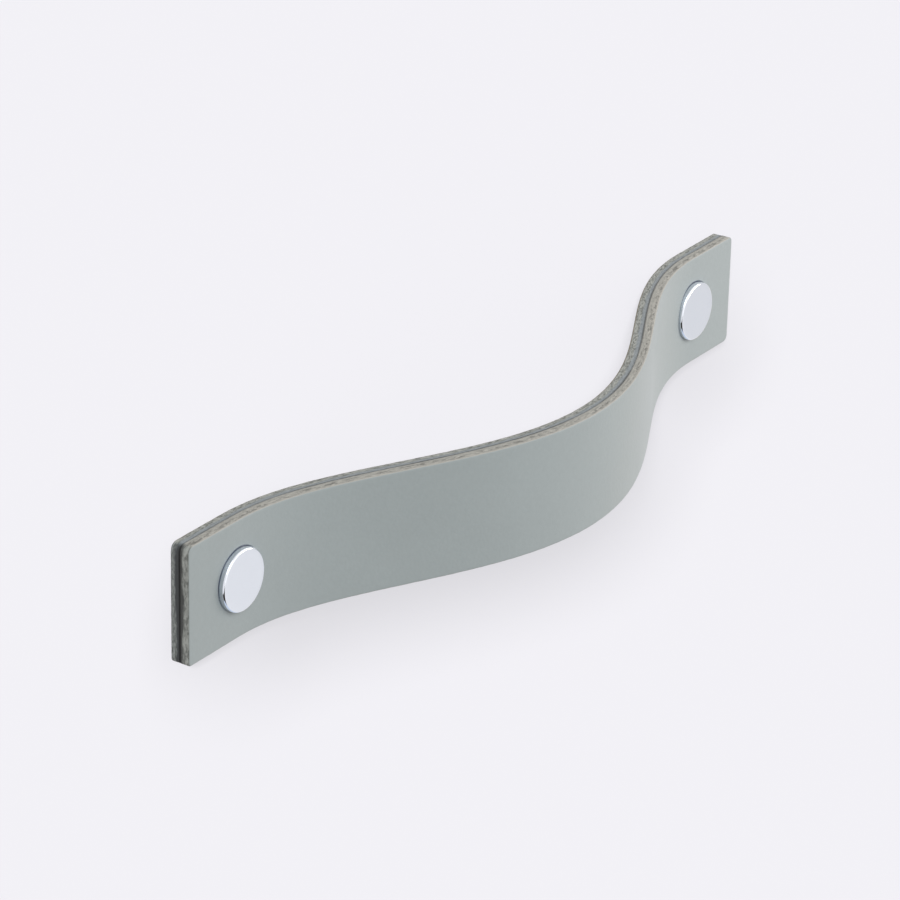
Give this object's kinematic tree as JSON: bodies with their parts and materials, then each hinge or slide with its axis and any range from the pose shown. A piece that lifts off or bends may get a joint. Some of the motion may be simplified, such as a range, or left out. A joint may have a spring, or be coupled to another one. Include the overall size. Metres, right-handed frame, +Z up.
{
  "type": "cabinet pull",
  "caption": "Bowed two-ply leather strap pull, held flat at each end by a round polished cap and a machine screw from behind the door.",
  "frame": {"origin": "on the door's face, midway between the two fixing points and at the middle of the strap's width", "axes": "+X along the strap to its right-hand end seen from the front, +Y into the door, +Z up"},
  "size_m": [0.1906, 0.0513, 0.024],
  "materials": {
    "grey_leather": "fine-grained and softly satin, with raw cut edges",
    "lining_leather": "fine-grained and matt, with raw cut edges",
    "polished_chrome": "bright polished face and rim",
    "zinc_steel": "zinc plated, dull bright"
  },
  "bodies": {
    "root": {"outer_strap": "grey_leather", "inner_strap": "lining_leather", "left_cap": "polished_chrome", "right_cap": "polished_chrome", "left_screw": "zinc_steel", "right_screw": "zinc_steel"}
  },
  "joints": []
}
